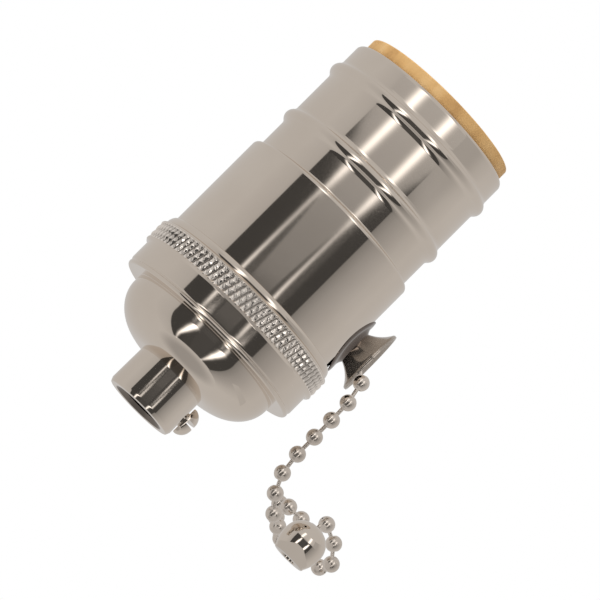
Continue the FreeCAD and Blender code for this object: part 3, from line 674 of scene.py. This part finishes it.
def make_screw_shell():
    """The lamp's contact: a thin wall rolled into a round thread above a narrower plain foot."""
    outer = LAMP_R + LAMP_WALL
    foot_outer = LAMP_FOOT_R + LAMP_WALL
    foot = 50.3
    top = LAMP_TOP - 1.0
    run_in = 2.5
    run_out = 1.5
    rows = 84

    def rolled(r, z, turn):
        if r in (LAMP_R, outer):
            swell = min(1, max(0, (z - foot) / run_in), max(0, (LAMP_TOP - 0.6 - z) / run_out))
            r += LAMP_THREAD_DEPTH * swell * math.sin(2 * math.pi * z / LAMP_PITCH - turn)
        return upright(r, z, turn)

    outline = [(LAMP_HOLE_R, LAMP_FOOT), (foot_outer - 0.2, LAMP_FOOT)]
    outline += [(foot_outer, LAMP_FOOT + 0.2), (foot_outer, foot - 0.9), (outer - 0.1, foot - 0.35)]
    outline += [(outer, foot + (top - foot) * row / rows) for row in range(rows + 1)]
    outline += [(outer + 0.22, top + 0.2), (outer + 0.32, top + 0.5), (outer + 0.2, top + 0.85)]
    outline += [(outer - 0.1, LAMP_TOP), (LAMP_R - 0.02, LAMP_TOP - 0.2)]
    outline += [(LAMP_R, top - (top - foot) * row / rows) for row in range(rows + 1)]
    outline += [(LAMP_FOOT_R, foot - 0.6), (LAMP_FOOT_R, LAMP_FOOT + LAMP_WALL)]
    outline += [(LAMP_HOLE_R, LAMP_FOOT + LAMP_WALL)]
    contact = lathe("screw_shell_rolled", outline, 144, rolled)
    yaw(contact)
    dress(contact, "screw_shell_metal", "socket", "screw_shell")


# ---- guide, chain and bell ----------------------------------------------------------------
def make_guide():
    """The trumpet on its neck, with a foot that hugs the barrel and reaches the cap's lip."""
    seat = BARREL_R + 0.12
    neck = GUIDE_NECK_R
    mouth = GUIDE_MOUTH_X
    rim = GUIDE_MOUTH_R
    edge = FLANGE_R
    # the stub in the base, with its collar
    outline = [(2.4, 8.9), (neck, 8.9), (neck, 12.9), (4.4, 12.9), (4.4, 13.9), (neck, 13.9)]
    # the flange on the barrel
    outline += [(neck, seat), (3.8, seat), (4.8, seat), (5.62, seat), (edge, seat + 0.08)]
    outline += [(edge, seat + 0.2), (5.65, seat + 0.3), (5.3, seat + 0.35)]
    outline += through((4.9, seat + 0.37), (3.72, seat + 0.52), (neck, seat + 0.78), 10)
    # the flare, its rim and its inside
    outline += through((3.36, 19.62), (4.18, 20.95), (rim - 0.12, mouth - 0.5), 20)
    outline += [(rim, mouth - 0.3), (rim, mouth - 0.05), (rim - 0.05, mouth + 0.1)]
    outline += [(rim - 0.2, mouth + 0.1)]
    outline += through((rim - 0.36, mouth), (4.2, 21.5), (2.6, 19.5), 20) + [(2.4, 18.9)]

    oval_from = 4.5          # the flange's rim is longer downwards, from this radius outwards
    oval_growth = 0.085
    bent_to = seat + 0.85    # where the foot's bend round the barrel has run out
    bend_run_out = 0.5

    def hugging(r, x, turn):
        """Bends the foot round the barrel, and lengthens the flange downwards."""
        side = r * math.cos(turn)
        rise = r * math.sin(turn)
        if r > oval_from and x < seat + 0.4 and rise < 0:
            rise *= 1 + oval_growth * (r - oval_from) / (edge - oval_from)
        on_foot = x > seat - 0.3 and r > 3.2
        share = min(1, max(0, (bent_to - x) / bend_run_out)) if on_foot else 0
        drop = math.sqrt(seat**2 - side**2) - seat
        return (x + share * drop, side, GUIDE_Z + rise)

    guide = lathe("chain_guide_trumpet", outline, 160, hugging)
    yaw(guide)
    dress(guide, "polished_nickel", "socket", "chain_guide", material=GUIDE_SHADED_NICKEL)


def make_bell():
    """The hollow pull at the chain's end."""
    top = high("pull_bell").z
    # the outside from the foot up, then the inside down from the hole for the chain
    outline = [(1.7, 0.0), (2.95, 0.0)] + arc((3.0, 0.3), 0.3, -90, -15, 4)
    outline += through((3.3, 0.4), (3.93, 1.9), (4.12, 3.6), 12)
    outline += through((4.12, 3.62), (3.32, 6.1), (1.5, top - 0.1), 20)[1:]
    outline += [(1.35, top), (1.1, top), (0.75, top - 0.08), (0.75, 6.7), (1.6, 5.6), (1.6, 3.6)]
    outline += [(0.0, 2.6), (0.0, 0.5), (1.7, 0.5)]

    def stood(r, z, turn):
        return (BELL.x + r * math.cos(turn), BELL.y + r * math.sin(turn), z)

    bell = lathe("pull_bell_turned", outline, 128, stood)
    dress(bell, "polished_nickel", "pull", "pull_bell")


def chain_line():
    """Closely spaced points along the chain's smooth line, in metres, read from its spline."""
    curve = bpy.data.curves.new("chain_line", "CURVE")
    curve.dimensions = "3D"
    curve.resolution_u = 24
    spline = curve.splines.new("NURBS")
    spline.points.add(len(CHAIN_ROUTE) - 1)
    for point, place in zip(spline.points, CHAIN_ROUTE):
        point.co = (*place, 1)
    spline.order_u = 3
    spline.use_endpoint_u = True
    holder = put_in_scene("chain_line", curve)
    mesh = bpy.data.meshes.new_from_object(holder)
    points = [vertex.co.copy() for vertex in mesh.vertices]
    bpy.data.objects.remove(holder)
    return points


class Line:
    """A polyline that gives the point at any distance along it."""

    def __init__(self, points):
        self.points = points
        self.marks = [0.0]
        for a, b in zip(points, points[1:]):
            self.marks.append(self.marks[-1] + (b - a).length)
        self.length = self.marks[-1]

    def at(self, distance):
        distance = min(max(distance, 0), self.length)
        for index, mark in enumerate(self.marks[1:]):
            if distance <= mark:
                share = (distance - self.marks[index]) / (mark - self.marks[index])
                return self.points[index].lerp(self.points[index + 1], share)
        return self.points[-1].copy()


def ball_marks(length):
    """Where the balls sit along the line: far apart where it hangs, closer in the heap."""
    marks = [FIRST_BALL + number * TAUT_PITCH for number in range(HANGING_BALLS)]
    rest = length - marks[-1]
    return marks + [marks[-1] + rest * (number + 1) / HEAP_BALLS for number in range(HEAP_BALLS)]


def turned_about(start, direction, outline, segments):
    """Vertices and faces of an (r, x) outline in metres, turned about a line in space."""
    spin = direction.to_track_quat("X", "Z")
    vertices = [start + spin @ Vector((x, r * math.cos(turn), r * math.sin(turn)))
                for r, x in outline for turn in turns(segments)]
    return vertices, ring_faces(len(outline), segments)


def ball_outline():
    """A hollow chain ball with a hole at both ends, in metres."""
    edge = 90 - BALL_HOLE
    outside = arc((0, 0), BALL_R, -edge, edge, 16)
    inside = arc((0, 0), BALL_R - BALL_WALL, edge, -edge, 8)
    return [(r * MM, x * MM) for r, x in outside + inside]


def make_chain():
    """The balls and the links as one mesh."""
    line = Line(chain_line())
    marks = ball_marks(line.length)
    vertices, faces = [], []

    def add(part):
        base = len(vertices)
        vertices.extend(part[0])
        faces.extend(tuple(base + index for index in face) for face in part[1])

    shape = ball_outline()
    for mark in marks:
        direction = (line.at(mark + 0.5 * MM) - line.at(mark - 0.5 * MM)).normalized()
        add(turned_about(line.at(mark), direction, shape, 28))
    for a, b in zip([0.0] + marks, marks):
        start, end = line.at(a), line.at(b)
        span = (end - start).length
        link = [(0.0, 0.0), (LINK_R * MM, 0.0), (LINK_R * MM, span), (0.0, span)]
        add(turned_about(start, (end - start).normalized(), link, 12))
    chain = make_object("pull_chain_balls", vertices, faces, sharp=50)
    dress(chain, "chain_nickel", "pull", "pull_chain")
    begin = FIRST_BALL - BALL_R * MM
    length = line.length - begin
    path_steps = 160
    path = [line.at(begin + length * step / path_steps) for step in range(path_steps + 1)]


# ---- pieces kept from the CAD -------------------------------------------------------------
def dress_cad_nodes():
    """Gives the CAD nodes that stay visible their materials."""
    slots = {part["node"]: part["material_slot"] for part in frame["record"]["subparts"]}
    for name, node in frame["nodes"].items():
        if node.hide_render:
            continue
        node.data.materials.clear()
        node.data.materials.append(MATERIALS[slots[name]])
        smooth(node, 30)


def hide_from_polish():
    """The photo's polish looks retouched: it mirrors none of the pieces that stand before it."""
    for name in ("set_screw_turned", "chain_guide_trumpet", "pull_bell_turned", "pull_chain_balls"):
        bpy.data.objects[name].visible_glossy = False
    for name in ("end_link", "chain_inner"):
        frame["nodes"][name].visible_glossy = False


# ---- stage --------------------------------------------------------------------------------
# The studio that the polish reflects is a glowing cylinder round the socket: a pale tent, one
# dark board on the camera's side, and two upright light strips in front of the board.
# Azimuths are in degrees from the camera's side, positive towards +X; heights are in mm. Each
# table is a list of pairs, with a height first, or an azimuth where its comment says so.
SURROUND_R = 900
SURROUND_Z = (-1600, 800)
TINT = Vector((1.0, 0.975, 0.955))
BOARD_SIDES = (-54.6, 47.6)
BOARD_FOOT = -1480
BOARD_GLOW = 0.062
BOARD_MIDDLES = ((30, 8), (12.5, 3))    # paler middles: half width and softness, in degrees
BOARD_MIDDLE_GLOW = 0.045
BOARD_DIM_Z = 144                       # the middles are dimmer below this
PANEL = (-12, 11, 134.8, 138.2)         # a pale panel on the board: azimuths, then heights
PANEL_GLOW = 0.11
BELOW_GLOW = 0.5                        # of the tent below the board
UPPER_RIGHT = (0.45, 203, 75)           # glow, foot and far azimuth of the tent's dimmer corner
# the height of the board's upper edge, by azimuth
BOARD_EDGE = [(-60, 211), (-32, 193), (-23, 183), (-14.5, 152), (-13, 150.5), (10.5, 150.5),
              (18, 180), (27, 190), (60, 218)]
# the tent's glow on each side of the board, by azimuth, and above the board, by height
RIGHT_GLOW = [(46, 0.23), (52, 0.30), (60, 0.37), (70, 0.43), (90, 0.54), (110, 0.6)]
LEFT_GLOW = [(54, 0.50), (60, 0.54), (85, 0.6)]
WALL_GLOW = [(140, 0.24), (152, 0.265), (180, 0.33), (195, 0.42), (223, 0.51), (300, 0.59)]
# the strips' azimuths, their half widths in degrees and their glow, by height
STRIP_LEFT = [(-1500, -47), (-900, -38), (-400, -28), (60, -21), (126, -19), (131, -16),
              (133.5, -26.8), (153, -27.6), (180, -26.4), (190, -25.4), (223, -24.6)]
STRIP_RIGHT = [(-1500, 21), (-900, 21), (-400, 22), (60, 26), (126, 29), (131, 31), (133.5, 22),
               (153, 19.2), (180, 20.2), (190, 21.6), (223, 22)]
STRIP_WIDTH = [(-1500, 1.6), (-900, 1.9), (-400, 2.5), (60, 3.0), (110, 2.2), (125, 1.6),
               (160, 1.6), (183, 2.1), (190, 3.3), (223, 4.4)]
STRIP_GLOW = [(-1400, 0.6), (-900, 1.2), (-400, 2.0), (60, 2.8), (110, 1.8), (125, 1.25),
              (153, 0.85), (166, 0.42), (182, 0.4), (190, 0.95), (223, 1.35)]

CARD_Z = -0.3                           # the pale card under the heap
CARD_GLOW = 0.54
FOOT_FADE = (0.35, 0.98)                # metres from the axis over which the foot's glow grows
FOOT_GLOW = (0.39, 0.6)
TENT_GLOW = 0.6                         # of the light that reaches the socket from all round
FLOOR_Z = -0.1


def level_at(points, x):
    """The height of a line through the points at x, flat beyond its ends."""
    if x <= points[0][0]:
        return points[0][1]
    for (x0, y0), (x1, y1) in zip(points, points[1:]):
        if x <= x1:
            return y0 + (y1 - y0) * (x - x0) / (x1 - x0)
    return points[-1][1]


def soft_step(distance, width):
    """From 0 to 1 as the distance goes from negative to positive, smoothly over the width."""
    share = min(1, max(0, distance / width + 0.5))
    return share * share * (3 - 2 * share)


def board_glow(azimuth, height):
    """The dark board, with its paler middles and its panel."""
    lift = 0.2 + 0.8 * soft_step(height - BOARD_DIM_Z, 8)
    glow = BOARD_GLOW
    for half_width, softness in BOARD_MIDDLES:
        glow += lift * BOARD_MIDDLE_GLOW * soft_step(half_width - abs(azimuth), softness)
    left, right, foot, top = PANEL
    in_width = soft_step(min(azimuth - left, right - azimuth), 2)
    return glow + PANEL_GLOW * in_width * soft_step(min(height - foot, top - height), 1)


def side_glow(azimuth, height):
    """The tent on either side of the board."""
    if azimuth <= 0:
        return level_at(LEFT_GLOW, -azimuth)
    glow = level_at(RIGHT_GLOW, azimuth)
    corner, foot, far = UPPER_RIGHT
    return glow + (corner - glow) * soft_step(height - foot, 14) * soft_step(far - azimuth, 20)


def surround_glow(azimuth, height):
    """The tent, the board and the strips together."""
    wall = max(level_at(WALL_GLOW, height), BELOW_GLOW * soft_step(BOARD_FOOT - height, 50))
    board_share = soft_step(level_at(BOARD_EDGE, azimuth) - height, 2.2)
    board_share *= soft_step(height - BOARD_FOOT, 50)
    front = wall + (board_glow(azimuth, height) - wall) * board_share
    side = side_glow(azimuth, height)
    in_front = soft_step(min(azimuth - BOARD_SIDES[0], BOARD_SIDES[1] - azimuth), 1.2)
    glow = side + (front - side) * in_front
    for strip in (STRIP_LEFT, STRIP_RIGHT):
        away = (azimuth - level_at(strip, height)) / level_at(STRIP_WIDTH, height)
        glow += level_at(STRIP_GLOW, height) * math.exp(-0.5 * away * away)
    return glow


def spaced(start, end, gap):
    """Evenly spaced values from start up to the one before end."""
    count = round((end - start) / gap)
    return [start + (end - start) * number / count for number in range(count)]


def glowing(name):
    """A material that only glows, with its node tree and its emission node."""
    material = bpy.data.materials.new(name)
    material.use_nodes = True
    tree = material.node_tree
    tree.nodes.clear()
    emission = tree.nodes.new("ShaderNodeEmission")
    output = tree.nodes.new("ShaderNodeOutputMaterial")
    tree.links.new(emission.outputs["Emission"], output.inputs["Surface"])
    material.cycles.emission_sampling = "NONE"
    return material, tree, emission


def make_surround():
    """The cylinder, with rings that lie closer where the tables change faster."""
    azimuths = spaced(-180, -60, 5) + spaced(-60, 60, 0.5) + spaced(60, 180, 5)
    heights = spaced(SURROUND_Z[0], -160, 40) + spaced(-160, 120, 14) + spaced(120, 132, 2)
    heights += spaced(132, 142, 0.5) + spaced(142, 236, 2) + spaced(236, SURROUND_Z[1], 47)
    heights.append(SURROUND_Z[1])
    vertices, glows = [], []
    for height in heights:
        for azimuth in azimuths:
            turn = math.radians(azimuth)
            place = Vector((math.sin(turn), -math.cos(turn), 0)) * SURROUND_R
            vertices.append((place + Vector((0, 0, height))) * MM)
            glows.append(surround_glow(azimuth, height))
    mesh = bpy.data.meshes.new("surround")
    mesh.from_pydata(vertices, [], ring_faces(len(heights), len(azimuths), closed=False))
    painted = mesh.color_attributes.new("glow", "FLOAT_COLOR", "POINT")
    for index, glow in enumerate(glows):
        painted.data[index].color = (*(TINT * glow), 1)
    surround = put_in_scene("surround", mesh)
    material, tree, emission = glowing("surround")
    colour = tree.nodes.new("ShaderNodeVertexColor")
    colour.layer_name = "glow"
    tree.links.new(colour.outputs["Color"], emission.inputs["Color"])
    mesh.materials.append(material)
    surround.visible_camera = False
    surround.visible_shadow = False


def flat_sheet(name, x, y, z):
    """A level rectangle, from (low, high) pairs."""
    corners = [(x[0], y[0]), (x[1], y[0]), (x[1], y[1]), (x[0], y[1])]
    mesh = bpy.data.meshes.new(name)
    mesh.from_pydata([Vector((*corner, z)) * MM for corner in corners], [], [(0, 1, 2, 3)])
    sheet = put_in_scene(name, mesh)
    return sheet


def make_card(name, x, y, z, glow):
    """A level sheet that only reflections see; returns its node tree and its emission node."""
    card = flat_sheet(name, x, y, z)
    material, tree, emission = glowing(name)
    emission.inputs["Color"].default_value = (*TINT, 1)
    emission.inputs["Strength"].default_value = glow
    card.data.materials.append(material)
    card.visible_camera = False
    card.visible_diffuse = False
    card.visible_shadow = False
    return tree, emission


def make_cards():
    """A pale card under the heap of chain, and a dusky patch far below the socket."""
    make_card("table_card", (30, 45), (-20, 4), CARD_Z, CARD_GLOW)
    depth = SURROUND_Z[0]
    tree, emission = make_card("foot_card", (-1000, 1000), (-1000, 1000), depth, 1)
    coordinates = tree.nodes.new("ShaderNodeTexCoord")
    away = tree.nodes.new("ShaderNodeVectorMath")
    away.operation = "DISTANCE"
    away.inputs[1].default_value = (0, 0, depth * MM)
    tree.links.new(coordinates.outputs["Object"], away.inputs[0])
    glow = map_range(tree.nodes, tree.links, away.outputs["Value"], FOOT_FADE, FOOT_GLOW,
                     "SMOOTHSTEP")
    tree.links.new(glow, emission.inputs["Strength"])


def make_floor():
    """A pale floor that shows only from above, because the camera looks up from below it."""
    floor = flat_sheet("floor", (-3000, 3000), (-3000, 3000), FLOOR_Z)
    material, nodes, links, shader = new_material("pale_floor")
    coordinates = nodes.new("ShaderNodeTexCoord")
    mottle = texture_noise(nodes, links, coordinates, 30, 4)
    links.new(ramp(nodes, links, mottle, [(0.3, (0.86, 0.86, 0.85)), (0.7, (0.90, 0.90, 0.89))]),
              shader.inputs["Base Color"])
    shader.inputs["Roughness"].default_value = 0.8
    side = nodes.new("ShaderNodeNewGeometry")
    clear = nodes.new("ShaderNodeBsdfTransparent")
    mix = nodes.new("ShaderNodeMixShader")
    links.new(side.outputs["Backfacing"], mix.inputs["Fac"])
    links.new(shader.outputs["BSDF"], mix.inputs[1])
    links.new(clear.outputs["BSDF"], mix.inputs[2])
    links.new(mix.outputs["Shader"], nodes["Material Output"].inputs["Surface"])
    floor.data.materials.append(material)
    floor.visible_glossy = False


def make_light():
    """A large soft lamp above the camera's left, which the polish doesn't mirror."""
    lamp = bpy.data.lights.new("soft_top", "AREA")
    lamp.shape = "DISK"
    lamp.size = 0.7
    lamp.energy = 9
    lamp.specular_factor = 0
    light = put_in_scene("soft_top", lamp)
    light.location = (-0.35, -0.3, 1.0)
    light.visible_glossy = False
    light.rotation_mode = "QUATERNION"
    light.rotation_quaternion = (AIM - light.location).to_track_quat("-Z", "Y")


def make_world():
    """White to the camera, and a tinted pale grey to everything that is lit by it."""
    world = bpy.data.worlds.new("studio")
    bpy.context.scene.world = world
    world.use_nodes = True
    nodes, links = world.node_tree.nodes, world.node_tree.links
    nodes.clear()
    seen = nodes.new("ShaderNodeBackground")
    seen.inputs["Color"].default_value = (1, 1, 1, 1)
    lit = nodes.new("ShaderNodeBackground")
    lit.inputs["Color"].default_value = (*(TINT * TENT_GLOW), 1)
    path = nodes.new("ShaderNodeLightPath")
    mix = nodes.new("ShaderNodeMixShader")
    output = nodes.new("ShaderNodeOutputWorld")
    links.new(path.outputs["Is Camera Ray"], mix.inputs["Fac"])
    links.new(lit.outputs["Background"], mix.inputs[1])
    links.new(seen.outputs["Background"], mix.inputs[2])
    links.new(mix.outputs["Shader"], output.inputs["Surface"])
    bpy.context.scene.view_settings.view_transform = "Standard"


# ---- build --------------------------------------------------------------------------------
make_camera()
make_cap()
make_hub()
make_set_screw()
make_shell()
make_liner()
make_screw_shell()
make_guide()
make_bell()
make_chain()
dress_cad_nodes()
hide_from_polish()
make_surround()
make_cards()
make_floor()
make_light()
make_world()
